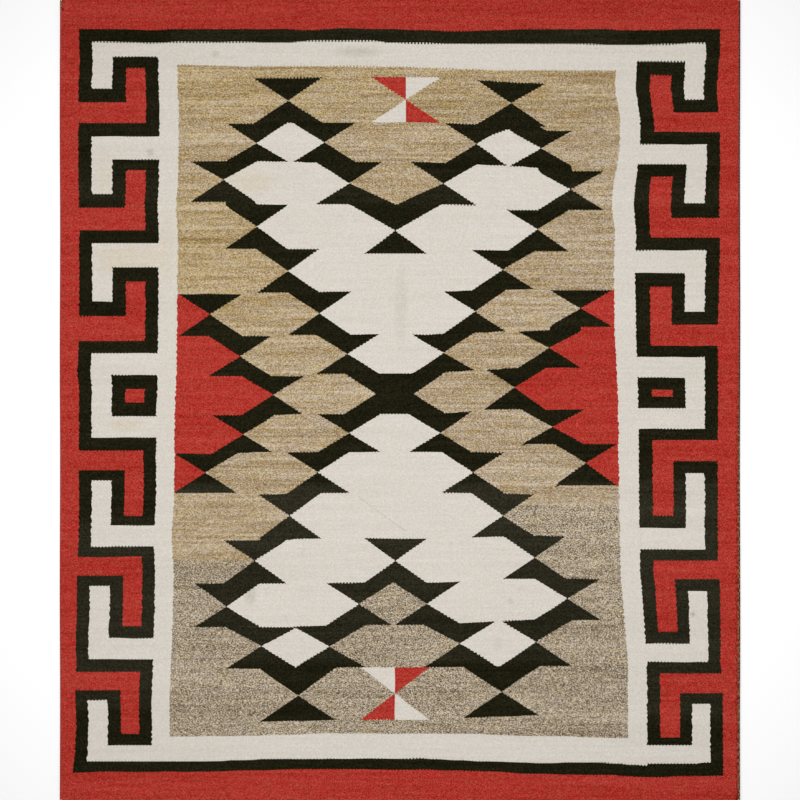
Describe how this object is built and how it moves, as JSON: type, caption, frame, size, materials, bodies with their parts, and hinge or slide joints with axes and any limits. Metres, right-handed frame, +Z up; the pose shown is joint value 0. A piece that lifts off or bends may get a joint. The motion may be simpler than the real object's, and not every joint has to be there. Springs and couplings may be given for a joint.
{
  "type": "flatweave rug",
  "caption": "Flat weft-faced tapestry rug with a key-fret border and a lozenge of stepped hourglass figures, with a thin twisted cord along each side.",
  "frame": {"origin": "middle of the rug's underside, on the surface that it lies on", "axes": "+Z up, +Y along the rug's length towards its upper end, +X to the right"},
  "size_m": [1.3058, 1.54, 0.0036],
  "materials": {
    "wool_weft": "matt weft-faced wool tapestry, ribbed along the warps, in madder red, olive black, off-white, heathered tan and grey-brown",
    "red_cord": "matt two-strand wool cord, madder red, olive brown at its upper end",
    "brown_cord": "matt two-strand wool cord, dark brown, showing old gold in places in its lower half"
  },
  "bodies": {
    "root": {"woven_cloth": "wool_weft", "side_cord_left": "red_cord", "side_cord_right": "brown_cord"}
  },
  "joints": []
}
